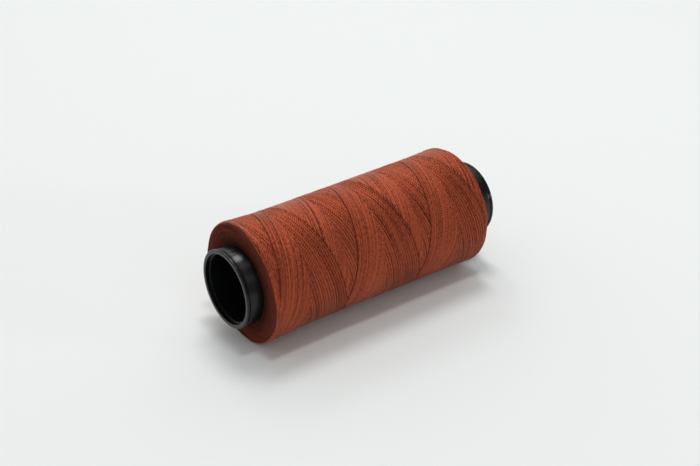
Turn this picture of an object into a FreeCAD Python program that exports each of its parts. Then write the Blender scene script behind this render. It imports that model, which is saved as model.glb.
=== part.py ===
"""Waxed thread spool: a moulded plastic core tube with one waxed thread wound crosswise on it.

The spool lies on its side. X runs along the bore, from the front end at -X to the rear end at +X, and +Z is up.
The origin is on the bore's axis, halfway along the tube. All sizes are in millimetres.
"""

import FreeCAD
import Part
import math
import os

# Core tube
tube_length = 101.0  # from rim face to rim face
bore_radius = 11.2  # plain bore for the spindle
mouth_radius = 11.65  # wider mouth at each end
mouth_depth = 1.5
lip_radius = 13.0  # outer radius of the flat rim
lip_width = 1.0  # length of the rim along the axis
lip_bevel = 0.25  # outer edge of the rim
catch_width = 0.7  # groove behind the rim that catches the thread's end
catch_depth = 0.9
barrel_radius = 12.8  # the cylinder that the thread is wound on
shoulder_round = 0.6  # eased edge between the barrel and the catch groove
shoulder_flat_count = 1  # flats that ease it

# Thread package: the inner layers
front_bare_length = 5.65  # tube that stays bare at the front end
rear_bare_length = 9.4  # tube that stays bare at the rear end
tube_clearance = 0.12  # between the barrel and the first layer
shoulder_radius = 20.4  # built-up edge at each end of the package, where the thread turns back
shoulder_land = 1.5  # length of that edge
shoulder_fall = 3.0  # length over which it falls to the wound surface
corner_round = 1.2  # eased corner between that edge and the wound end face
corner_flat_count = 3  # flats that ease it
rest_flat_depth = 0.5  # flat that the package rests on

# Thread package: the outer turns
thread_diameter = 0.45
thread_sides = 3  # faces round the thread, which is too thin to show more
waist_radius = 19.6  # over the outer turns, halfway along them
edge_radius = 19.8  # over the outer turns, where they turn back
strokes = 8  # passes along the package, forwards and back by turns
turns_per_stroke = 2.625  # for 8 passes, so that the turning points share out the circle evenly
steps_per_stroke = 12  # each step is about a quarter turn
lay_gap = 0.42  # clear space between a forward pass and the backward pass that crosses it
seat_gap = 0.06  # between a forward pass and the inner layers
edge_gap = 0.2  # between the turning points and the built-up edge
tuck_angle = 7.0  # degrees from the common turning point to where each end dips inwards
tuck_gap = 0.02  # between each end of the thread and the inner layers

# Places that follow from the sizes above
half_tube = tube_length / 2
package_front = front_bare_length - half_tube
package_rear = half_tube - rear_bare_length
wound_front = package_front + shoulder_land + shoulder_fall
wound_rear = package_rear - shoulder_land - shoulder_fall
first_turn = wound_front + edge_gap + thread_diameter / 2
last_turn = wound_rear - edge_gap - thread_diameter / 2
pass_spacing = thread_diameter + lay_gap
step_angle = 2 * math.pi * turns_per_stroke / steps_per_stroke
step_advance = (last_turn - first_turn) / (steps_per_stroke - 0.5)
turn_back = step_advance / 4

X_AXIS = FreeCAD.Vector(1, 0, 0)
ORIGIN = FreeCAD.Vector(0, 0, 0)


def outer_radius(x):
    """Radius over the outer turns at x: least halfway along them, and greatest where they turn back."""
    middle = (first_turn + last_turn) / 2
    share = (x - middle) / (last_turn - middle)
    return waist_radius + (edge_radius - waist_radius) * share * share


def backward_radius(x):
    """Radius of the thread's middle line on a backward pass, which lies outermost."""
    return outer_radius(x) - thread_diameter / 2


def forward_radius(x):
    """Radius of the thread's middle line on a forward pass, which the backward passes cross."""
    return backward_radius(x) - pass_spacing


def seat_radius(x):
    """Radius of the inner layers under the outer turns."""
    return forward_radius(x) - thread_diameter / 2 - seat_gap


def in_profile(x, radius):
    """A point of a turned outline, in the XZ plane."""
    return FreeCAD.Vector(x, 0, radius)


def polyline(points):
    """Straight edges through the points in order."""
    return [Part.LineSegment(start, end).toShape() for start, end in zip(points, points[1:])]


def turned(edges):
    """A closed outline in the XZ plane, turned once round the X axis."""
    return Part.Face(Part.Wire(edges)).revolve(ORIGIN, X_AXIS, 360)


def eased_corner(corner, before, after, radius, flats):
    """Points that ease a square corner with a few flats along a round. before and after point along its sides."""
    centre = corner + (before + after) * radius
    points = []
    for index in range(flats + 1):
        angle = math.pi / 2 * index / flats
        points.append(centre - (after * math.cos(angle) + before * math.sin(angle)) * radius)
    return points


# The core tube
def tube_end(side):
    """Points of the tube's outline at one end, from the barrel over the rim into the bore. side is -1 or 1."""
    rim = side * half_tube
    catch_outer = side * (half_tube - lip_width)
    catch_inner = side * (half_tube - lip_width - catch_width)
    catch_radius = lip_radius - catch_depth
    mouth_end = side * (half_tube - mouth_depth)
    shoulder = eased_corner(
        in_profile(catch_inner, barrel_radius),
        X_AXIS * -side,
        in_profile(0, -1),
        min(shoulder_round, 0.9 * (barrel_radius - catch_radius)),
        shoulder_flat_count,
    )
    return shoulder + [
        in_profile(catch_inner, catch_radius),
        in_profile(catch_outer, catch_radius),
        in_profile(catch_outer, lip_radius),
        in_profile(rim - side * lip_bevel, lip_radius),
        in_profile(rim, lip_radius - lip_bevel),
        in_profile(rim, mouth_radius),
        in_profile(mouth_end, mouth_radius),
        in_profile(mouth_end, bore_radius),
    ]


def core_tube():
    """The moulded tube: barrel, and at each end a shoulder, a catch groove, a rim and a wider mouth."""
    front = tube_end(-1)
    rear = tube_end(1)
    front.reverse()
    return turned(polyline(front + rear + front[:1]))


# The inner layers of the thread
def package_corner(x, before, after):
    """Points of the eased corner of the package at the end face at x."""
    return eased_corner(in_profile(x, shoulder_radius), before, after, corner_round, corner_flat_count)


def inner_layers():
    """The thread under the outer turns as one plain body, with a built-up edge at each end and a flat to rest on."""
    inside = barrel_radius + tube_clearance
    inwards = in_profile(0, -1)
    middle = (wound_front + wound_rear) / 2
    seat_front = in_profile(wound_front, seat_radius(wound_front))
    seat_middle = in_profile(middle, seat_radius(middle))
    seat_rear = in_profile(wound_rear, seat_radius(wound_rear))
    front = [in_profile(package_front, inside)]
    front += package_corner(package_front, inwards, X_AXIS)
    front += [in_profile(package_front + shoulder_land, shoulder_radius), seat_front]
    rear = [seat_rear, in_profile(package_rear - shoulder_land, shoulder_radius)]
    rear += package_corner(package_rear, -X_AXIS, inwards)
    rear += [in_profile(package_rear, inside), front[0]]
    seat = Part.Arc(seat_front, seat_middle, seat_rear).toShape()
    body = turned(polyline(front) + [seat] + polyline(rear))
    floor = rest_flat_depth - shoulder_radius
    below = Part.makeBox(
        tube_length,
        2 * shoulder_radius,
        shoulder_radius,
        FreeCAD.Vector(-half_tube, -shoulder_radius, floor - shoulder_radius),
    )
    return body.cut(below)


# The outer turns of the thread
def on_drum(x, radius, angle):
    """The point at x, at a radius and an angle. The angle runs from +Z towards -Y."""
    return FreeCAD.Vector(x, -radius * math.sin(angle), radius * math.cos(angle))


def along_drum(angle):
    """Direction round the drum at an angle."""
    return FreeCAD.Vector(0, -math.cos(angle), -math.sin(angle))


def away_from_axis(angle):
    """Direction straight out from the axis at an angle."""
    return FreeCAD.Vector(0, -math.sin(angle), math.cos(angle))


def pass_station(stroke, step):
    """(point, direction) of the thread's middle line at one step of a pass."""
    forward = stroke % 2 == 0
    travelled = turn_back + step * step_advance
    x = first_turn + travelled if forward else last_turn - travelled
    radius_at = forward_radius if forward else backward_radius
    advance = step_advance if forward else -step_advance
    radius = radius_at(x)
    rise = radius_at(x + advance / 2) - radius_at(x - advance / 2)
    angle = (stroke * steps_per_stroke + step + 0.5) * step_angle
    direction = along_drum(angle) * (radius * step_angle) + X_AXIS * advance + away_from_axis(angle) * rise
    return on_drum(x, radius, angle), direction.normalize()


def tuck_station(angle):
    """(point, direction) where the thread has risen from its tuck, at the turning points of the front end."""
    return on_drum(first_turn, backward_radius(first_turn), angle), along_drum(angle)


def three_point_arc(start, corner, end):
    """The arc from start to end whose tangents meet at corner."""
    chord_middle = (start + end) * 0.5
    half_chord = (end - start).Length / 2
    turn = math.acos(min(1.0, half_chord / (corner - start).Length))
    outwards = (corner - chord_middle).normalize()
    return Part.Arc(start, chord_middle + outwards * (half_chord * math.tan(turn / 2)), end)


def biarc(station, next_station):
    """Two arcs that join two stations and keep the direction of each."""
    start, leaving = station
    end, arriving = next_station
    span = end - start
    along = span.dot(leaving + arriving)
    spread = 2 * (1 - leaving.dot(arriving))
    reach = (math.sqrt(along * along + spread * span.dot(span)) - along) / spread
    first_corner = start + leaving * reach
    second_corner = end - arriving * reach
    joint = (first_corner + second_corner) * 0.5
    return [three_point_arc(start, first_corner, joint), three_point_arc(joint, second_corner, end)]


def tuck(station, angle, leaving):
    """The bend and the short straight that take one end of the thread square down to the inner layers."""
    top, direction = station
    foot_radius = seat_radius(first_turn) + tuck_gap
    bend = backward_radius(first_turn) - foot_radius - thread_diameter
    side = 1 if leaving else -1
    outwards = away_from_axis(angle)
    corner = top + direction * (side * bend)
    bend_end = corner - outwards * bend
    foot = bend_end - outwards * thread_diameter
    if leaving:
        return [three_point_arc(top, corner, bend_end), Part.LineSegment(bend_end, foot)]
    return [Part.LineSegment(foot, bend_end), three_point_arc(bend_end, corner, top)]


def thread_route():
    """Curves of the thread's middle line: forwards under, backwards over, and turned back at each end."""
    start_angle = math.radians(tuck_angle)
    end_angle = strokes * steps_per_stroke * step_angle - math.radians(tuck_angle)
    stations = [tuck_station(start_angle)]
    for stroke in range(strokes):
        for step in range(steps_per_stroke):
            stations.append(pass_station(stroke, step))
    stations.append(tuck_station(end_angle))
    route = tuck(stations[0], start_angle, leaving=False)
    for station, next_station in zip(stations, stations[1:]):
        route += biarc(station, next_station)
    return route + tuck(stations[-1], end_angle, leaving=True)


def least_gap(route):
    """Clear space where the thread comes nearest to itself, measured between points about 1 mm apart."""
    points = []
    travelled = 0.0
    for curve in route:
        length = curve.length()
        count = max(1, round(length))
        first, last = curve.FirstParameter, curve.LastParameter
        for index in range(count):
            place = first + (last - first) * index / count
            points.append((travelled + length * index / count, curve.value(place)))
        travelled += length
    own_stretch = 12 * thread_diameter
    nearest = min(
        (point - other).Length
        for index, (place, point) in enumerate(points)
        for other_place, other in points[index + 1 :]
        if other_place - place > own_stretch
    )
    return nearest - thread_diameter


def outer_turns():
    """The outer turns as one unbroken thread."""
    route = thread_route()
    spine = Part.Wire([curve.toShape() for curve in route])
    start = route[0].value(route[0].FirstParameter)
    straight = (route[0].value(route[0].LastParameter) - start).normalize()
    across = X_AXIS.cross(straight).normalize()
    corners = []
    for index in range(thread_sides + 1):
        angle = 2 * math.pi * (index + 0.5) / thread_sides
        offset = X_AXIS * math.cos(angle) + across * math.sin(angle)
        corners.append(start + offset * (thread_diameter / 2))
    shell = Part.BRepOffsetAPI.MakePipeShell(spine)
    shell.add(Part.makePolygon(corners))
    shell.build()
    shell.makeSolid()
    print("outer turns: %.1f loops, least gap to itself %.2f mm" % (strokes * turns_per_stroke, least_gap(route)))
    return shell.shape()


PIECES = {
    "core_tube": core_tube,
    "thread_inner_layers": inner_layers,
    "thread_outer_turns": outer_turns,
}

os.makedirs("parts", exist_ok=True)
for name, build_piece in PIECES.items():
    piece = build_piece()
    piece.exportStep(os.path.join("parts", name + ".step"))
    print("%s: valid %s, volume %.1f mm3" % (name, piece.isValid(), piece.Volume))
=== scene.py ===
"""Looks of the waxed thread spool: a glossy core tube, and one waxed thread wound crosswise on it.

Sizes in the classes are in millimetres. Meshes are in metres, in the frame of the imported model, with the bore
along X, the front end at -X, the rear end at +X and +Z up. Angles round the spool run from +Z towards -Y.
"""

import logging
import math
import random
from dataclasses import dataclass, field
from enum import Enum
from typing import Any, Union

import bmesh
import bpy
import numpy as np
from mathutils import Matrix, Vector


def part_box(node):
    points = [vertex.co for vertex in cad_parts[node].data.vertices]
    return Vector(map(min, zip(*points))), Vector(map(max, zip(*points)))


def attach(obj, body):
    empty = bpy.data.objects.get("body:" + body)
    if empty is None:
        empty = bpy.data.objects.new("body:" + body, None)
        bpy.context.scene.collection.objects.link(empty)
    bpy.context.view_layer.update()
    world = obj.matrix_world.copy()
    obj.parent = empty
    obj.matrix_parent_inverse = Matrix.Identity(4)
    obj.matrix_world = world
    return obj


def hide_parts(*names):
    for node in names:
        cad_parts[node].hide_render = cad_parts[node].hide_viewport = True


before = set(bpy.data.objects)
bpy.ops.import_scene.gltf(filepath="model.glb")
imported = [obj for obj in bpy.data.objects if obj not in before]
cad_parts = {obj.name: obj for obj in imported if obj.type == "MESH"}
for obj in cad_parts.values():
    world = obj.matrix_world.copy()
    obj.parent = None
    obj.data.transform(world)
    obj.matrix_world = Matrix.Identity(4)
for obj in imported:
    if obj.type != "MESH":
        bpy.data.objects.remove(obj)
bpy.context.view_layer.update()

MM = 0.001
# In metres: corners this close are merged, and corners this close to a ring lie on it.
WELD_DISTANCE = 1e-7
RING_TOLERANCE = 1e-6
# Name of the mesh value for how deep a strand lies; the thread's colour darkens by it as painted shade.
DEPTH = "depth"
LOG = logging.getLogger("thread_spool")

Parts = tuple[float, float, float]
Colour = tuple[float, float, float]
Value = Union["Signal", bpy.types.NodeSocket, float, tuple]


class End(Enum):
    """The two ends of the spool, by their direction along X."""

    FRONT = -1
    REAR = 1


class Signal:
    """A number that varies over a surface, so that shader maths reads as Python expressions."""

    def __init__(self, shader: "Shader", socket: bpy.types.NodeSocket) -> None:
        """Wraps an output socket of one of the shader's nodes."""
        self.shader = shader
        self.socket = socket

    def maths(self, operation: str, *values: Value) -> "Signal":
        """Adds a Math node.

        Args:
            operation: the Math node's operation.
            values: what its inputs hold, in order.

        Returns:
            The node's result.
        """
        node = self.shader.node("ShaderNodeMath", {"operation": operation}, dict(enumerate(values)))
        return Signal(self.shader, node.outputs[0])

    def __add__(self, other: Value) -> "Signal":
        """self + other."""
        return self.maths("ADD", self, other)

    def __radd__(self, other: Value) -> "Signal":
        """other + self."""
        return self.maths("ADD", other, self)

    def __sub__(self, other: Value) -> "Signal":
        """self - other."""
        return self.maths("SUBTRACT", self, other)

    def __rsub__(self, other: Value) -> "Signal":
        """other - self."""
        return self.maths("SUBTRACT", other, self)

    def __mul__(self, other: Value) -> "Signal":
        """self * other."""
        return self.maths("MULTIPLY", self, other)

    def __rmul__(self, other: Value) -> "Signal":
        """other * self."""
        return self.maths("MULTIPLY", other, self)

    def __truediv__(self, other: Value) -> "Signal":
        """self / other."""
        return self.maths("DIVIDE", self, other)

    def __pow__(self, other: Value) -> "Signal":
        """self to the power of other."""
        return self.maths("POWER", self, other)

    def __abs__(self) -> "Signal":
        """The size of self without its sign."""
        return self.maths("ABSOLUTE", self)

    def fraction(self) -> "Signal":
        """What is left of self above a whole number, from 0 to 1."""
        return self.maths("FRACT", self)

    def at_most(self, other: Value) -> "Signal":
        """The lesser of self and other."""
        return self.maths("MINIMUM", self, other)

    def at_least(self, other: Value) -> "Signal":
        """The greater of self and other."""
        return self.maths("MAXIMUM", self, other)


class Shader:
    """The nodes of a material, or of the surroundings."""

    def __init__(self, owner: bpy.types.ID) -> None:
        """Empties the owner's nodes.

        Args:
            owner: the material or the surroundings.
        """
        self.owner = owner
        self.owner.use_nodes = True
        self.tree = self.owner.node_tree
        self.tree.nodes.clear()

    def node(self, kind: str, settings: dict[str, Any], inputs: dict[Any, Value]) -> bpy.types.Node:
        """Adds a node.

        Args:
            kind: the node's type.
            settings: its properties, set before its inputs.
            inputs: values or links, by the input's name or number.

        Returns:
            The new node.
        """
        node = self.tree.nodes.new(kind)
        for name, value in settings.items():
            setattr(node, name, value)
        for key, value in inputs.items():
            if isinstance(value, Signal):
                value = value.socket
            if isinstance(value, bpy.types.NodeSocket):
                self.tree.links.new(value, node.inputs[key])
            else:
                node.inputs[key].default_value = value
        return node

    def coordinates(self) -> bpy.types.NodeSocket:
        """The place of a point on the piece, in metres."""
        return self.node("ShaderNodeTexCoord", {}, {}).outputs["Object"]

    def uv(self) -> bpy.types.NodeSocket:
        """The piece's own UV coordinates."""
        return self.node("ShaderNodeTexCoord", {}, {}).outputs["UV"]

    def split(self, vector: bpy.types.NodeSocket) -> tuple[Signal, Signal, Signal]:
        """The three parts of a vector."""
        node = self.node("ShaderNodeSeparateXYZ", {}, {0: vector})
        return tuple(Signal(self, output) for output in node.outputs)

    def scaled(self, vector: bpy.types.NodeSocket, factors: Parts) -> bpy.types.NodeSocket:
        """A vector with each part times its own factor."""
        node = self.node("ShaderNodeVectorMath", {"operation": "MULTIPLY"}, {0: vector, 1: factors})
        return node.outputs[0]

    def dot(self, vector: bpy.types.NodeSocket, other: Parts) -> Signal:
        """The dot product of a vector with a fixed one."""
        node = self.node("ShaderNodeVectorMath", {"operation": "DOT_PRODUCT"}, {0: vector, 1: other})
        return Signal(self, node.outputs["Value"])

    def noise(self, vector: bpy.types.NodeSocket, scale: float, detail: float) -> Signal:
        """A smooth random pattern from 0 to 1.

        Args:
            vector: the coordinates that it reads.
            scale: how many blotches there are to a unit of them.
            detail: how many finer layers it has.

        Returns:
            The pattern.
        """
        node = self.node("ShaderNodeTexNoise", {}, {"Vector": vector, "Scale": scale, "Detail": detail})
        return Signal(self, node.outputs[0])

    def blend(self, share: Signal, low: Value, high: Value) -> bpy.types.NodeSocket:
        """A colour between two.

        Args:
            share: how much of the second colour there is, held to 0 to 1.
            low: the colour at 0.
            high: the colour at 1.

        Returns:
            The mixed colour.
        """
        settings = {"data_type": "RGBA", "clamp_factor": True}
        ends = {key: opaque(value) for key, value in ((6, low), (7, high))}
        return self.node("ShaderNodeMix", settings, {0: share} | ends).outputs[2]

    def attribute(self, name: str) -> Signal:
        """A number that the mesh keeps for each of its corners."""
        return Signal(self, self.node("ShaderNodeAttribute", {"attribute_name": name}, {}).outputs["Fac"])

    def bump(self, height: Signal, depth: float, normal: Value | None = None) -> bpy.types.NodeSocket:
        """Normals that follow a height pattern.

        Args:
            height: the pattern.
            depth: metres between its 0 and 1.
            normal: the normals under the pattern, if they aren't the surface's own.

        Returns:
            The new normals.
        """
        inputs = {"Height": height, "Distance": depth, "Strength": 1.0}
        if normal is not None:
            inputs["Normal"] = normal
        return self.node("ShaderNodeBump", {}, inputs).outputs[0]

    def surface(self, inputs: dict[str, Value]) -> bpy.types.ID:
        """Ends the material with a plain surface shader.

        Args:
            inputs: the shader's inputs, by name.

        Returns:
            The material.
        """
        shader = self.node("ShaderNodeBsdfPrincipled", {}, inputs)
        self.node("ShaderNodeOutputMaterial", {}, {"Surface": shader.outputs[0]})
        return self.owner


def opaque(colour: Value) -> Value:
    """A colour with its alpha, or a link as it is."""
    return (*colour, 1.0) if isinstance(colour, tuple) else colour


@dataclass(frozen=True)
class GlossPlastic:
    """Smooth moulded black plastic with faint scuffs."""

    colour: Colour = (0.0030, 0.0034, 0.0038)
    worn_colour: Colour = (0.008, 0.009, 0.009)
    roughness: float = 0.21
    scuffed_roughness: float = 0.33
    scuff_scale: float = 260.0
    scuff_stretch: Parts = (0.25, 1.0, 1.0)
    scuff_detail: float = 4.0
    scuff_sharpness: float = 2.0
    ripple_scale: float = 90.0
    ripple_detail: float = 1.0
    ripple_depth: float = 0.006 * MM
    refraction: float = 1.38

    def material(self, name: str) -> bpy.types.Material:
        """Makes the material.

        Args:
            name: the material's name.

        Returns:
            The new material.
        """
        shader = Shader(bpy.data.materials.new(name))
        place = shader.coordinates()
        stretched = shader.scaled(place, self.scuff_stretch)
        scuffs = shader.noise(stretched, self.scuff_scale, self.scuff_detail) ** self.scuff_sharpness
        ripple = shader.noise(place, self.ripple_scale, self.ripple_detail)
        return shader.surface(
            {
                "Base Color": shader.blend(scuffs, self.colour, self.worn_colour),
                "Roughness": scuffs * (self.scuffed_roughness - self.roughness) + self.roughness,
                "Normal": shader.bump(ripple, self.ripple_depth),
                "IOR": self.refraction,
            }
        )


@dataclass(frozen=True)
class WaxedThread:
    """Twisted thread with a soft coloured sheen. The UV runs once round it, and along it in millimetres."""

    colour: Colour = (0.51, 0.102, 0.046)
    # Colour that painted shade (between the plies, on deeper thread) and darker random tone blend towards.
    shade_and_dark_tone_colour: Colour = (0.10, 0.015, 0.007)
    depth_shade: float = 0.65
    plies: int = 2
    ply_shade: float = 0.9
    twist_pitch: float = 1.6
    ply_depth: float = 0.08 * MM
    flatness: float = 0.5
    tone_length: float = 35.0
    tone_detail: float = 1.0
    tone_change: float = 2.0
    glint_length: float = 1.1
    glint_detail: float = 0.0
    glint_change: float = 1.2
    roughness: float = 0.38
    metallic: float = 0.65
    wax: float = 0.05
    fuzz: float = 0.25
    fuzz_roughness: float = 0.5
    fuzz_colour: Colour = (1.0, 0.5, 0.32)

    def material(self, name: str) -> bpy.types.Material:
        """Makes the material.

        Args:
            name: the material's name.

        Returns:
            The new material.
        """
        shader = Shader(bpy.data.materials.new(name))
        around, along, _ = shader.split(shader.uv())
        # Base colour: painted shade darkens the hollows between the plies and, by the depth value, thread that
        # lies deeper; tone and glint add random changes along the thread.
        across_ply = abs(((along / self.twist_pitch - around) * float(self.plies)).fraction() * 2.0 - 1.0)
        crown = 1.0 - across_ply * across_ply
        tone = self.changes_along(shader, self.tone_length, self.tone_detail)
        glint = self.changes_along(shader, self.glint_length, self.glint_detail)
        shade = (1.0 - crown) * self.ply_shade + tone * self.tone_change + glint * self.glint_change
        shade = shade + shader.attribute(DEPTH) * self.depth_shade
        return shader.surface(
            {
                "Base Color": shader.blend(shade, self.colour, self.shade_and_dark_tone_colour),
                "Roughness": self.roughness,
                "Metallic": self.metallic,
                "Normal": shader.bump(crown, self.ply_depth, self.pressed_normal(shader)),
                "Specular IOR Level": self.wax,
                "Sheen Weight": self.fuzz,
                "Sheen Roughness": self.fuzz_roughness,
                "Sheen Tint": opaque(self.fuzz_colour),
            }
        )

    def changes_along(self, shader: Shader, length: float, detail: float) -> Signal:
        """A random pattern along the thread, about zero.

        Args:
            shader: the material's nodes.
            length: of its blotches, in millimetres.
            detail: how many finer layers it has.

        Returns:
            The pattern, from -0.5 to 0.5.
        """
        along = shader.scaled(shader.uv(), (0.0, 1.0 / length, 0.0))
        return shader.noise(along, 1.0, detail) - 0.5

    def pressed_normal(self, shader: Shader) -> bpy.types.NodeSocket:
        """Normals of thread that is pressed a little flat against the package.

        Args:
            shader: the material's nodes.

        Returns:
            The normals.
        """
        outward = shader.scaled(shader.coordinates(), (0.0, 1.0, 1.0))
        outward = shader.node("ShaderNodeVectorMath", {"operation": "NORMALIZE"}, {0: outward}).outputs[0]
        shaped = shader.node("ShaderNodeNewGeometry", {}, {}).outputs["Normal"]
        pressed = shader.scaled(outward, (self.flatness,) * 3)
        rounded = shader.scaled(shaped, (1.0 - self.flatness,) * 3)
        mixed = shader.node("ShaderNodeVectorMath", {"operation": "ADD"}, {0: pressed, 1: rounded})
        return mixed.outputs[0]


# The turns packed on the end faces: a darker, matt copy of the thread, whose darkness is painted shade from the
# gaps between the turns, deepened towards the tube by their depth value; their twist hardly shows.
SHADED_END_THREAD = WaxedThread(
    colour=(0.15, 0.031, 0.018),
    shade_and_dark_tone_colour=(0.035, 0.009, 0.006),
    depth_shade=1.2,
    ply_depth=0.01 * MM,
    ply_shade=0.2,
    tone_change=1.2,
    glint_change=0.4,
    flatness=0.0,
    roughness=0.8,
    metallic=0.0,
    fuzz=0.0,
)


@dataclass(frozen=True)
class ShadedDenseThread:
    """Thread seen side by side as a close surface, in two crossing lays, coloured far darker than the outer
    thread as painted shade under the outer turns, with more painted shade in the grooves between its ridges.
    """

    # Far darker than the outer thread: painted shade for the layers under the outer turns.
    colour: Colour = (0.085, 0.018, 0.011)
    groove_shade_colour: Colour = (0.03, 0.007, 0.005)
    pitch: float = 0.47
    lead: float = 29.8
    groove_depth: float = 0.12 * MM
    roughness: float = 0.9
    wax: float = 0.05

    def material(self, name: str) -> bpy.types.Material:
        """Makes the material.

        Args:
            name: the material's name.

        Returns:
            The new material.
        """
        shader = Shader(bpy.data.materials.new(name))
        x, y, z = shader.split(shader.coordinates())
        turns = y.maths("ARCTAN2", -1.0 * y, z) / (2.0 * math.pi)
        shift = turns * (self.lead * MM)
        one_lay = self.ridge((x + shift) / (self.pitch * MM))
        other_lay = self.ridge((x - shift) / (self.pitch * MM))
        lay = one_lay.at_least(other_lay)
        # Painted shade: the grooves between the ridges take the darker colour.
        return shader.surface(
            {
                "Base Color": shader.blend(lay, self.groove_shade_colour, self.colour),
                "Roughness": self.roughness,
                "Specular IOR Level": self.wax,
                "Normal": shader.bump(lay, self.groove_depth),
            }
        )

    def ridge(self, phase: Signal) -> Signal:
        """A round ridge for each whole number of the phase."""
        offset = abs(phase.fraction() * 2.0 - 1.0)
        return 1.0 - offset * offset


@dataclass(frozen=True)
class PaleFloor:
    """A plain, matt, pale surface."""

    colour: Colour = (0.845, 0.872, 0.862)
    roughness: float = 0.9
    shine: float = 0.1

    def material(self, name: str) -> bpy.types.Material:
        """Makes the material.

        Args:
            name: the material's name.

        Returns:
            The new material.
        """
        shader = Shader(bpy.data.materials.new(name))
        return shader.surface(
            {
                "Base Color": opaque(self.colour),
                "Roughness": self.roughness,
                "Specular IOR Level": self.shine,
            }
        )


def new_piece(name: str, mesh: bpy.types.Mesh, material: bpy.types.Material) -> bpy.types.Object:
    """Puts a mesh into the scene.

    Args:
        name: the piece's name.
        mesh: its mesh, in place.
        material: what it is made of.

    Returns:
        The new object, at the origin.
    """
    piece = bpy.data.objects.new(name, mesh)
    mesh.materials.clear()
    mesh.materials.append(material)
    bpy.context.scene.collection.objects.link(piece)
    return piece


def turned_shape(outline: list[tuple[float, float]], steps: int) -> bmesh.types.BMesh:
    """Turns a closed outline once round the X axis.

    Args:
        outline: (x, radius) corners in millimetres.
        steps: faces round the axis.

    Returns:
        The closed shape, in metres.
    """
    shape = bmesh.new()
    corners = [shape.verts.new((x * MM, 0.0, radius * MM)) for x, radius in outline]
    edges = [shape.edges.new(pair) for pair in zip(corners, corners[1:] + corners[:1])]
    bmesh.ops.spin(
        shape,
        geom=corners + edges,
        axis=(1.0, 0.0, 0.0),
        cent=(0.0, 0.0, 0.0),
        angle=2.0 * math.pi,
        steps=steps,
        use_merge=True,
    )
    bmesh.ops.remove_doubles(shape, verts=shape.verts, dist=WELD_DISTANCE)
    bmesh.ops.recalc_face_normals(shape, faces=shape.faces)
    return shape


def finished_mesh(shape: bmesh.types.BMesh, name: str, sharp_angle: float = 35.0) -> bpy.types.Mesh:
    """Turns a bmesh into a mesh with smooth faces and sharp edges.

    Args:
        shape: the bmesh, which is freed.
        name: the mesh's name.
        sharp_angle: edges that bend more than this, in degrees, stay sharp.

    Returns:
        The new mesh.
    """
    mesh = bpy.data.meshes.new(name)
    shape.to_mesh(mesh)
    shape.free()
    mesh.shade_smooth()
    mesh.set_sharp_from_angle(angle=math.radians(sharp_angle))
    return mesh


@dataclass
class Strand:
    """The middle line of a strand in metres, and at each point a value from 0 to 1: how deep it lies, or on the
    end turns how near the tube; the thread's colour darkens by it as painted shade.
    """

    places: list[Vector]
    depths: list[float]


def strand_mesh(name: str, strands: list[Strand], diameter: float, resolution: int) -> bpy.types.Mesh:
    """Makes round strands along lines of points.

    Args:
        name: the mesh's name.
        strands: where they run, and how deep they lie.
        diameter: of the strands, in millimetres.
        resolution: of their round section, where 0 has four sides and each step adds two.

    Returns:
        One mesh, whose UV runs once round each strand, and along it in millimetres.
    """
    curve = bpy.data.curves.new(name, "CURVE")
    curve.dimensions = "3D"
    curve.fill_mode = "FULL"
    curve.bevel_depth = diameter / 2 * MM
    curve.bevel_resolution = resolution
    curve.use_fill_caps = True
    for strand in strands:
        spline = curve.splines.new("POLY")
        spline.points.add(len(strand.places) - 1)
        for point, place in zip(spline.points, strand.places):
            point.co = (*place, 1.0)
    holder = bpy.data.objects.new(name, curve)
    bpy.context.scene.collection.objects.link(holder)
    mesh = bpy.data.meshes.new_from_object(holder.evaluated_get(bpy.context.evaluated_depsgraph_get()))
    bpy.data.objects.remove(holder)
    bpy.data.curves.remove(curve)
    mesh.name = name
    mesh.shade_smooth()
    map_strands(mesh, strands, 4 + 2 * resolution)
    return mesh


def corner_values(values: list[list[float]], sides: int) -> np.ndarray:
    """The value of each corner of strands, from those of their points.

    Args:
        values: of each strand's points.
        sides: corners of each ring.

    Returns:
        The values in the mesh's order: the caps from the last strand's back, and then all the rings.
    """
    caps = [value for line in reversed(values) for value in (line[-1], line[0])]
    rings = [value for line in values for value in line]
    return np.repeat(np.array(caps + rings), sides)


def map_strands(mesh: bpy.types.Mesh, strands: list[Strand], sides: int) -> None:
    """Writes the depth of strands, and their UV: once round, and along in millimetres.

    Args:
        mesh: the strands, ring by ring.
        strands: where they run, and how deep they lie.
        sides: corners of each ring.
    """
    travelled = []
    for strand in strands:
        steps = np.linalg.norm(np.diff(np.array([tuple(place) for place in strand.places]), axis=0), axis=1)
        travelled.append([0.0, *(np.cumsum(steps) / MM)])
    along_corner = corner_values(travelled, sides)
    around_corner = np.tile(np.arange(sides), len(along_corner) // sides)
    depths = mesh.attributes.new(DEPTH, "FLOAT", "POINT")
    depth_corner = corner_values([strand.depths for strand in strands], sides)
    depths.data.foreach_set("value", depth_corner.astype(np.float32))
    corner = np.zeros(len(mesh.loops), dtype=np.int32)
    mesh.loops.foreach_get("vertex_index", corner)
    sizes = np.zeros(len(mesh.polygons), dtype=np.int32)
    mesh.polygons.foreach_get("loop_total", sizes)
    place = around_corner[corner].astype(float)
    owner = np.repeat(np.arange(len(sizes)), sizes)
    highest = np.zeros(len(sizes))
    np.maximum.at(highest, owner, place)
    lowest = np.full(len(sizes), float(sides))
    np.minimum.at(lowest, owner, place)
    # Where a face joins a ring's last corner to its first, that first one counts as a full turn.
    seam = (highest - lowest == sides - 1) & (sizes == 4)
    place[seam[owner] & (place == 0.0)] = sides
    uv = np.stack((place / sides, along_corner[corner]), axis=1)
    mesh.uv_layers[0].data.foreach_set("uv", uv.astype(np.float32).ravel())


def smooth_step(share: float) -> float:
    """Rises smoothly from 0 at 0 to 1 at 1, and stays level outside."""
    share = min(max(share, 0.0), 1.0)
    return share * share * (3.0 - 2.0 * share)


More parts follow.
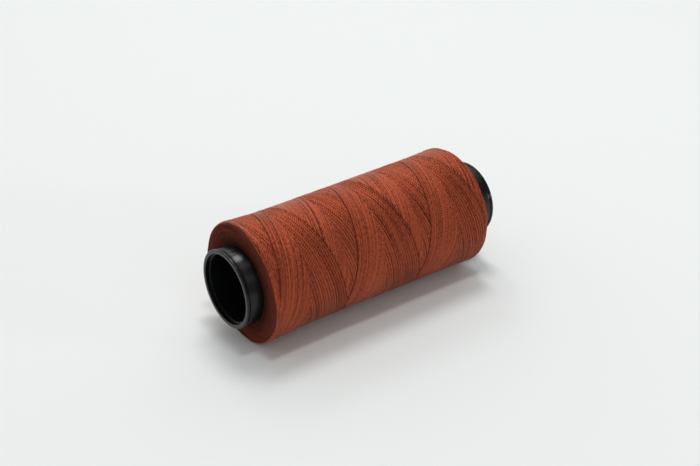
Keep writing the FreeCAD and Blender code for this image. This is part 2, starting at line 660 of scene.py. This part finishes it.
class Wander:
    """A slow, repeatable wander about zero, as a hand or a guide leaves it."""

    def __init__(self, seed: int, reach: float, spacing: float) -> None:
        """Starts at a seed.

        Args:
            seed: of its random values.
            reach: the most that it wanders.
            spacing: between its turning values.
        """
        self.reach = reach
        self.spacing = spacing
        self.draw = random.Random(seed)
        self.values: list[float] = []

    def at(self, place: float) -> float:
        """The wander at a place.

        Args:
            place: where, which is 0 or more.

        Returns:
            How far it has wandered there.
        """
        step = place / self.spacing
        index = int(step)
        while len(self.values) < index + 2:
            self.values.append(self.draw.uniform(-self.reach, self.reach))
        share = (1.0 - math.cos(math.pi * (step - index))) / 2.0
        return self.values[index] * (1.0 - share) + self.values[index + 1] * share


@dataclass
class CoreTube:
    """The moulded tube: barrel, and at each end a shoulder, a catch groove, a rim and a wider mouth."""

    finish: GlossPlastic = field(default_factory=GlossPlastic)
    length: float = 101.0
    bore_radius: float = 11.2
    mouth_radius: float = 11.65
    mouth_depth: float = 1.5
    lip_radius: float = 13.0
    lip_width: float = 1.0
    lip_round: float = 0.32
    catch_width: float = 0.7
    catch_depth: float = 0.3
    catch_round: float = 0.12
    barrel_radius: float = 12.8
    shoulder_round: float = 0.25
    mouth_round: float = 0.18
    step_round: float = 0.06
    round_segments: int = 4
    steps: int = 180

    def end_corners(self, end: End) -> list[tuple[float, float, float]]:
        """The outline's corners at one end.

        Args:
            end: which end.

        Returns:
            (x, radius, round) of each corner, from the barrel over the rim into the bore.
        """
        side = end.value
        rim = side * self.length / 2
        catch_outer = rim - side * self.lip_width
        catch_inner = catch_outer - side * self.catch_width
        catch_radius = self.lip_radius - self.catch_depth
        mouth_end = rim - side * self.mouth_depth
        return [
            (catch_inner, self.barrel_radius, self.shoulder_round),
            (catch_inner, catch_radius, self.catch_round),
            (catch_outer, catch_radius, self.catch_round),
            (catch_outer, self.lip_radius, self.lip_round),
            (rim, self.lip_radius, self.lip_round),
            (rim, self.mouth_radius, self.mouth_round),
            (mouth_end, self.mouth_radius, self.step_round),
            (mouth_end, self.bore_radius, self.step_round),
        ]

    def build(self) -> bpy.types.Object:
        """Makes the tube.

        Returns:
            The tube's object.
        """
        corners = list(reversed(self.end_corners(End.FRONT))) + self.end_corners(End.REAR)
        shape = turned_shape([(x, radius) for x, radius, _ in corners], self.steps)
        for x, radius, size in corners:
            bmesh.ops.bevel(
                shape,
                geom=self.ring_edges(shape, x, radius),
                offset=size * MM,
                offset_type="OFFSET",
                segments=self.round_segments,
                profile=0.5,
                affect="EDGES",
                material=-1,
                clamp_overlap=True,
            )
        bmesh.ops.recalc_face_normals(shape, faces=shape.faces)
        mesh = finished_mesh(shape, "core_tube_moulding")
        tube = new_piece("core_tube_moulding", mesh, self.finish.material("gloss_plastic"))
        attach(tube, "root")
        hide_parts("core_tube")
        return tube

    def ring_edges(self, shape: bmesh.types.BMesh, x: float, radius: float) -> list[bmesh.types.BMEdge]:
        """The edges of a sharp ring round the tube.

        Args:
            shape: the tube's shape.
            x: place of the ring along the axis.
            radius: of the ring.

        Returns:
            The edges.
        """

        def on_ring(vertex: bmesh.types.BMVert) -> bool:
            """True if the vertex lies on the ring."""
            away = max(abs(vertex.co.x - x * MM), abs(math.hypot(vertex.co.y, vertex.co.z) - radius * MM))
            return away < RING_TOLERANCE

        return [edge for edge in shape.edges if on_ring(edge.verts[0]) and on_ring(edge.verts[1])]


@dataclass
class Package:
    """The outer form of the wound thread, as wide as its newest turns reach.

    It may rest on the floor where the cosine of the angle from straight down is above resting_side.
    """

    front: float
    rear: float
    floor_drop: float
    waist: float = -21.8
    waist_radius: float = 19.65
    front_flare: float = 0.74
    front_flare_power: float = 3.0
    rear_slope: float = 0.62
    rear_flare: float = 0.46
    rear_flare_power: float = 12.0
    corner_round: float = 0.6
    resting_side: float = 0.5

    def radius(self, x: float) -> float:
        """Radius over the turns at x.

        Args:
            x: place along the axis.

        Returns:
            The radius, with the rounded corners at both ends.
        """
        if x < self.waist:
            share = (self.waist - x) / (self.waist - self.front)
            radius = self.waist_radius + self.front_flare * share ** self.front_flare_power
        else:
            share = (x - self.waist) / (self.rear - self.waist)
            radius = self.waist_radius + self.rear_slope * share
            radius += self.rear_flare * share ** self.rear_flare_power
        inside = min(x - self.front, self.rear - x, self.corner_round)
        inset = self.corner_round - max(inside, 0.0)
        return radius - self.corner_round + math.sqrt(self.corner_round ** 2 - inset ** 2)

    def reach(self, x: float, angle: float) -> float:
        """Radius over the turns at x and an angle in radians, flat where the package rests."""
        return self.above_floor(self.radius(x), angle, 0.0)

    def above_floor(self, radius: float, angle: float, gap: float) -> float:
        """Keeps a point off the floor.

        Args:
            radius: of the point.
            angle: of the point, in radians.
            gap: between the point and the floor, at least.

        Returns:
            The radius, shortened where it would come too low.
        """
        below = -math.cos(angle)
        return min(radius, (self.floor_drop - gap) / below) if below > self.resting_side else radius

    def place(self, x: float, radius: float, angle: float) -> Vector:
        """The point at x, a radius and an angle in radians, in metres."""
        return Vector((x, -radius * math.sin(angle), radius * math.cos(angle))) * MM


@dataclass
class InnerLayers:
    """The thread under the outer turns, as one dense body."""

    package: Package
    inner_radius: float
    depth: float
    finish: ShadedDenseThread = field(default_factory=ShadedDenseThread)
    face_inset: float = 0.3
    steps: int = 144
    stations: int = 60
    sharp_angle: float = 40.0

    def build(self) -> bpy.types.Object:
        """Makes the body.

        Returns:
            The body's object.
        """
        front = self.package.front + self.face_inset
        rear = self.package.rear - self.face_inset
        outline = [(front, self.inner_radius)]
        for index in range(self.stations + 1):
            share = (1.0 - math.cos(math.pi * index / self.stations)) / 2.0
            x = front + (rear - front) * share
            outline.append((x, self.package.radius(x) - self.depth))
        outline.append((rear, self.inner_radius))
        shape = turned_shape(outline, self.steps)
        lowest = (self.depth - self.package.floor_drop) * MM
        for vertex in shape.verts:
            vertex.co.z = max(vertex.co.z, lowest)
        mesh = finished_mesh(shape, "thread_dense_layers", self.sharp_angle)
        body = new_piece("thread_dense_layers", mesh, self.finish.material("dense_thread_shaded"))
        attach(body, "root")
        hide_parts("thread_inner_layers")
        return body


@dataclass
class OuterTurns:
    """The outer turns: one thread laid crosswise, each double stroke a little behind the one before.

    A forward pass runs from the rear end to the front end, and a backward pass returns. Sinks and the
    backing are in thread diameters, the reach of a turning point and the spacing of the guide's wander are
    in turns of the spool, and the groove beside a newest line is in double strokes.
    """

    package: Package
    material: bpy.types.Material
    diameter: float = 0.45
    lead: float = 29.8
    double_strokes: int = 61
    turns_per_double_stroke: float = 6.0
    newest_x: float = -8.265
    newest_angle: float = 24.0
    points_per_turn: int = 72
    pair_offset: float = 0.09
    pair_sink: float = 0.25
    pass_wander: float = 0.08
    pass_sink: float = 0.25
    pass_sink_power: float = 2.0
    turn_wander: float = 1.6
    turn_wander_power: float = 1.5
    turn_reach: float = 0.2
    groove_width: float = 2.1
    groove_edge: float = 0.5
    pass_seed: int = 11
    guide_seed: int = 5
    guide_wander: float = 0.05
    guide_spacing: float = 0.61
    steepest_dive: float = 0.25
    refinements: int = 2
    side_resolution: int = 1
    backing: float = 1.9

    def __post_init__(self) -> None:
        """Works out the winding from the driving sizes."""
        self.front_turn = self.package.front + self.diameter / 2
        self.rear_turn = self.package.rear - self.diameter / 2
        self.travel = self.rear_turn - self.front_turn
        self.stroke_turns = self.turns_per_double_stroke - 1.0 / self.double_strokes
        self.half_stroke = self.stroke_turns / 2
        self.easing = self.half_stroke - self.travel / self.lead
        self.total_turns = self.double_strokes * self.stroke_turns
        newest_start = self.total_turns - self.stroke_turns
        newest_turns = newest_start + (self.rear_turn - self.newest_x) / self.lead + self.easing / 2
        self.first_angle = math.radians(self.newest_angle) - 2 * math.pi * newest_turns
        reach = self.lead * self.easing / 2
        self.newest_forward = self.rear_turn + reach + self.lead * newest_start
        self.newest_backward = self.front_turn - reach - self.lead * (newest_start + self.half_stroke)
        self.scatter_passes()
        self.wander = Wander(self.guide_seed, self.guide_wander, self.guide_spacing)

    def scatter_passes(self) -> None:
        """Draws how far each pass and each turning point strays and sinks."""
        draw = random.Random(self.pass_seed)
        passes = 2 * self.double_strokes + 2
        # Forward passes lie true, and backward passes lie to one side and the other by turns.
        sides = [index % 2 * (-1) ** (index // 2) for index in range(passes)]
        strays = [draw.uniform(-self.pass_wander, self.pass_wander) for _ in sides]
        self.pass_offsets = [stray + self.pair_offset * side for stray, side in zip(strays, sides)]
        self.turn_offsets = [
            draw.uniform(0.0, 1.0) ** self.turn_wander_power * self.turn_wander for _ in sides
        ]
        self.turn_sinks = [draw.uniform(0.0, 1.0) for _ in sides]
        sinks = [draw.uniform(0.0, 1.0) ** self.pass_sink_power * self.pass_sink for _ in sides]
        self.pass_sinks = [sink + self.pair_sink * max(side, 0) for sink, side in zip(sinks, sides)]

    def backing_depth(self) -> float:
        """How far the dense layers lie under the reach of the turns, in millimetres."""
        return self.diameter * self.backing

    def advance(self, turns: float) -> float:
        """Distance moved along the package so many turns after a turning point.

        Args:
            turns: turns of the spool since the thread last turned back, up to half a double stroke.

        Returns:
            The distance, which starts and ends gently.
        """
        if turns < self.easing:
            return self.lead * turns * turns / (2 * self.easing)
        left = self.half_stroke - turns
        if left < self.easing:
            return self.travel - self.lead * left * left / (2 * self.easing)
        return self.lead * (turns - self.easing / 2)

    def station(self, turns: float) -> tuple[Vector, float]:
        """A point of the thread's middle line.

        Args:
            turns: turns of the spool since the first of these turns was laid.

        Returns:
            The point, in metres, and how many diameters deep it lies there, up to 1.
        """
        index = min(int(turns / self.half_stroke), 2 * self.double_strokes - 1)
        since = turns - index * self.half_stroke
        left = self.half_stroke - since
        moved = self.advance(since)
        forward = index % 2 == 0
        x = self.rear_turn - moved if forward else self.front_turn + moved
        inwards = 1 if forward else -1
        near_start = max(0.0, 1.0 - since / self.turn_reach)
        near_end = max(0.0, 1.0 - left / self.turn_reach)
        x -= inwards * self.turn_offsets[index] * near_start ** 2
        x += inwards * self.turn_offsets[index + 1] * near_end ** 2
        steady = (1.0 - near_start) * (1.0 - near_end)
        sink = (self.sunk(index, x, turns) + self.pass_sinks[index]) * steady
        sink += self.turn_sinks[index] * near_start + self.turn_sinks[index + 1] * near_end
        x += steady * (self.pass_offsets[index] + self.wander.at(turns))
        x = min(max(x, self.front_turn), self.rear_turn)
        angle = self.first_angle + 2 * math.pi * turns
        depth = min(sink, 1.0)
        radius = self.package.reach(x, angle) - self.diameter * (0.5 + depth)
        return self.package.place(x, radius, angle), depth

    def sunk(self, index: int, x: float, turns: float) -> float:
        """How far a pass lies under the passes that cross it.

        Args:
            index: number of the pass, the oldest first.
            x: place along the axis.
            turns: turns of the spool since the first of these turns was laid.

        Returns:
            0 where it lies over older passes, 1 where newer passes lie over it.
        """
        own = self.double_strokes - 1 - index // 2
        if index % 2 == 0:
            crossing = (self.newest_backward - x) / self.lead + turns
            newer_by = own + 0.5
        else:
            crossing = (x - self.newest_forward) / self.lead + turns
            newer_by = own - 0.5
        crossing = (crossing % 1.0) * self.double_strokes
        under = smooth_step(newer_by - crossing + 0.5)
        emerging = smooth_step((self.groove_width - (self.double_strokes - crossing)) / self.groove_edge)
        return max(under, emerging)

    def stations(self) -> list[tuple[Vector, float]]:
        """The stations of the whole thread, closer together where it dives under a crossing pass.

        Returns:
            Each point, in metres, and how deep it lies.
        """
        count = int(self.total_turns * self.points_per_turn)
        turns = [self.total_turns * index / count for index in range(count + 1)]
        line = [self.station(place) for place in turns]
        for _ in range(self.refinements):
            finer_turns, finer_line = [turns[0]], [line[0]]
            for index in range(1, len(turns)):
                if abs(line[index][1] - line[index - 1][1]) > self.steepest_dive:
                    between = (turns[index - 1] + turns[index]) / 2
                    finer_turns.append(between)
                    finer_line.append(self.station(between))
                finer_turns.append(turns[index])
                finer_line.append(line[index])
            turns, line = finer_turns, finer_line
        return line

    def build(self) -> list[bpy.types.Object]:
        """Makes the outer turns in three pieces, from the oldest third of the thread to the newest.

        Returns:
            The pieces.
        """
        line = self.stations()
        names = ("thread_under_turns", "thread_middle_turns", "thread_top_turns")
        pieces = []
        for index, name in enumerate(names):
            first = index * len(line) // len(names)
            last = (index + 1) * len(line) // len(names)
            part = line[first : last + 1]
            strand = Strand([place for place, _ in part], [depth for _, depth in part])
            mesh = strand_mesh(name, [strand], self.diameter, self.side_resolution)
            piece = new_piece(name, mesh, self.material)
            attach(piece, "root")
            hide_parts("thread_outer_turns")
            pieces.append(piece)
        return pieces


@dataclass
class EndTurns:
    """The turns that show on a wound end face, each a short arc that dips back among its neighbours."""

    package: Package
    end: End
    material: bpy.types.Material
    inner_radius: float
    diameter: float = 0.45
    ring_pitch: float = 0.40
    arcs_per_ring: int = 7
    first_ring: float = 0.6
    half_arc: float = 40.0
    dip: float = 0.55
    points: int = 15
    seed: int = 23
    stray_angle: float = 9.0
    stray_radius: float = 0.14
    stray_rise: float = 0.2
    stray_inset: float = 0.16
    side_resolution: int = 1

    def build(self) -> bpy.types.Object:
        """Makes the arcs of one end face.

        Returns:
            The piece.
        """
        draw = random.Random(self.seed + self.end.value)
        face = self.package.front if self.end is End.FRONT else self.package.rear
        outermost = self.package.radius(face - self.end.value * self.package.corner_round) - self.diameter
        rings = int((outermost - self.inner_radius) / self.ring_pitch)
        strands = []
        for ring in range(rings):
            first = draw.uniform(0.0, 360.0)
            for arc in range(self.arcs_per_ring):
                middle = first + 360.0 * arc / self.arcs_per_ring
                middle += draw.uniform(-self.stray_angle, self.stray_angle)
                radius = self.inner_radius + (ring + self.first_ring) * self.ring_pitch
                radius += draw.uniform(-self.stray_radius, self.stray_radius)
                rise = draw.uniform(-self.stray_rise, self.stray_rise)
                inset = self.diameter / 2 + draw.uniform(0.0, self.stray_inset)
                places = self.arc(face, middle, radius, rise, inset)
                # Painted shade: the depth value darkens the arcs more the nearer their ring lies to the tube.
                strands.append(Strand(places, [(1.0 - ring / rings) ** 2] * len(places)))
        name = "thread_end_turns_" + self.end.name.lower()
        mesh = strand_mesh(name, strands, self.diameter, self.side_resolution)
        piece = new_piece(name, mesh, self.material)
        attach(piece, "root")
        return piece

    def arc(self, face: float, middle: float, radius: float, rise: float, inset: float) -> list[Vector]:
        """One arc on the end face.

        Args:
            face: x of the end face.
            middle: angle of the arc's middle, in degrees.
            radius: its radius there.
            rise: how much the radius grows from the middle to either end.
            inset: how far its middle line lies inside the face.

        Returns:
            Its points, in metres.
        """
        points = []
        for index in range(self.points):
            share = 2.0 * index / (self.points - 1) - 1.0
            angle = math.radians(middle + share * self.half_arc)
            x = face - self.end.value * (inset + self.dip * share * share)
            reach = self.package.above_floor(radius + rise * share, angle, self.diameter)
            points.append(self.package.place(x, reach, angle))
        return points


@dataclass(frozen=True)
class Lamp:
    """A soft lamp that shines at the spool from far away."""

    name: str
    towards: Parts
    width_along: float
    width_across: float
    level: float
    distance: float = 1400.0

    def hang(self) -> None:
        """Puts the lamp into the scene, where a level of 1 shows a colour as it is written."""
        light = bpy.data.lights.new(self.name, "AREA")
        light.shape = "ELLIPSE"
        light.size = self.width_along * MM
        light.size_y = self.width_across * MM
        light.energy = self.level * math.pi * math.pi * (self.distance * MM) ** 2
        holder = bpy.data.objects.new(self.name, light)
        direction = Vector(self.towards).normalized()
        side = (Vector((1.0, 0.0, 0.0)) - direction * direction.x).normalized()
        turn = Matrix((side, direction.cross(side), direction)).transposed().to_4x4()
        holder.matrix_world = Matrix.Translation(direction * self.distance * MM) @ turn
        bpy.context.scene.collection.objects.link(holder)


@dataclass
class Studio:
    """The pale floor, the soft light and the camera."""

    floor_z: float
    floor_finish: PaleFloor = field(default_factory=PaleFloor)
    floor_width: float = 6000.0
    lamps: tuple[Lamp, ...] = (
        Lamp("lamp_key", (0.20, 0.28, 0.94), 520.0, 470.0, 0.30),
        Lamp("lamp_top", (0.00, -0.20, 0.98), 170.0, 170.0, 0.15),
        Lamp("lamp_back", (0.20, 0.67, 0.70), 400.0, 300.0, 0.08),
        Lamp("lamp_side", (0.62, -0.76, 0.21), 130.0, 130.0, 0.09),
        Lamp("lamp_fill", (-0.05, -0.75, 0.64), 700.0, 700.0, 0.07),
    )
    sky_zenith: float = 0.37
    sky_horizon: float = 0.8
    bright_side: Parts = (0.45, 0.78, 0.43)
    bright_side_gain: float = 1.4
    dark_side: Parts = (0.74, -0.64, 0.2)
    dark_side_slope: float = 3.0
    dark_side_start: float = 1.8
    dark_side_loss: float = 0.85
    camera_place: Parts = (-213.725, -278.80, 203.53)
    camera_right: Parts = (0.7962, -0.6050, 0.0)
    camera_up: Parts = (0.3002, 0.3951, 0.8682)
    lens: float = 62.99
    sensor_width: float = 36.0
    nearest_shown: float = 10.0
    farthest_shown: float = 20000.0

    def build(self) -> None:
        """Makes the floor, the lights and the camera."""
        self.lay_floor()
        for lamp in self.lamps:
            lamp.hang()
        self.light_sky()
        self.place_camera()

    def lay_floor(self) -> None:
        """Lays the floor under the spool."""
        shape = bmesh.new()
        bmesh.ops.create_grid(shape, x_segments=2, y_segments=2, size=self.floor_width / 2 * MM)
        bmesh.ops.translate(shape, verts=shape.verts, vec=(0.0, 0.0, self.floor_z * MM))
        mesh = finished_mesh(shape, "studio_floor")
        floor = new_piece("studio_floor", mesh, self.floor_finish.material("floor"))

    def light_sky(self) -> None:
        """Gives the surroundings a pale light, which is brightest low down."""
        world = bpy.data.worlds.new("studio_surroundings")
        shader = Shader(world)
        direction = shader.node("ShaderNodeTexCoord", {}, {}).outputs["Generated"]
        lowness = 1.0 - abs(shader.split(direction)[2])
        level = lowness * lowness * (self.sky_horizon - self.sky_zenith) + self.sky_zenith
        gain = shader.dot(direction, self.bright_side).at_least(0.0) * self.bright_side_gain
        darkness = shader.dot(direction, self.dark_side) * self.dark_side_slope - self.dark_side_start
        loss = darkness.at_least(0.0).at_most(1.0) * self.dark_side_loss
        strength = level * (1.0 + gain) * (1.0 - loss)
        background = shader.node("ShaderNodeBackground", {}, {"Strength": strength})
        shader.node("ShaderNodeOutputWorld", {}, {"Surface": background.outputs[0]})
        bpy.context.scene.world = world

    def place_camera(self) -> None:
        """Places the camera where the spool looks as it is meant to."""
        camera = bpy.data.cameras.new("camera")
        camera.lens = self.lens
        camera.sensor_width = self.sensor_width
        camera.clip_start = self.nearest_shown * MM
        camera.clip_end = self.farthest_shown * MM
        holder = bpy.data.objects.new("camera", camera)
        right = Vector(self.camera_right).normalized()
        up = Vector(self.camera_up).normalized()
        turn = Matrix((right, up, right.cross(up))).transposed().to_4x4()
        holder.matrix_world = Matrix.Translation(Vector(self.camera_place) * MM) @ turn
        bpy.context.scene.collection.objects.link(holder)
        bpy.context.scene.camera = holder
        bpy.context.scene.view_settings.view_transform = "Standard"


def report(*pieces: bpy.types.Object) -> None:
    """Logs each piece with its number of faces."""
    for piece in pieces:
        LOG.info("%s: %d faces", piece.name, len(piece.data.polygons))


def main() -> None:
    """Builds the spool and the studio round it, and reports each piece."""
    logging.basicConfig(level=logging.INFO, format="%(name)s %(message)s")
    layers_low, layers_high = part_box("thread_inner_layers")
    package = Package(layers_low.x / MM, layers_high.x / MM, -layers_low.z / MM)
    tube = CoreTube()
    report(tube.build())
    thread = WaxedThread().material("waxed_thread")
    turns = OuterTurns(package, thread)
    report(*turns.build())
    body = InnerLayers(package, tube.barrel_radius, turns.backing_depth())
    report(body.build())
    # The end faces take the darker copy of the thread, painted with shade.
    packed = SHADED_END_THREAD.material("packed_thread_shaded")
    for end in End:
        report(EndTurns(package, end, packed, tube.barrel_radius).build())
    Studio(layers_low.z / MM).build()


if __name__ == "__main__":
    main()
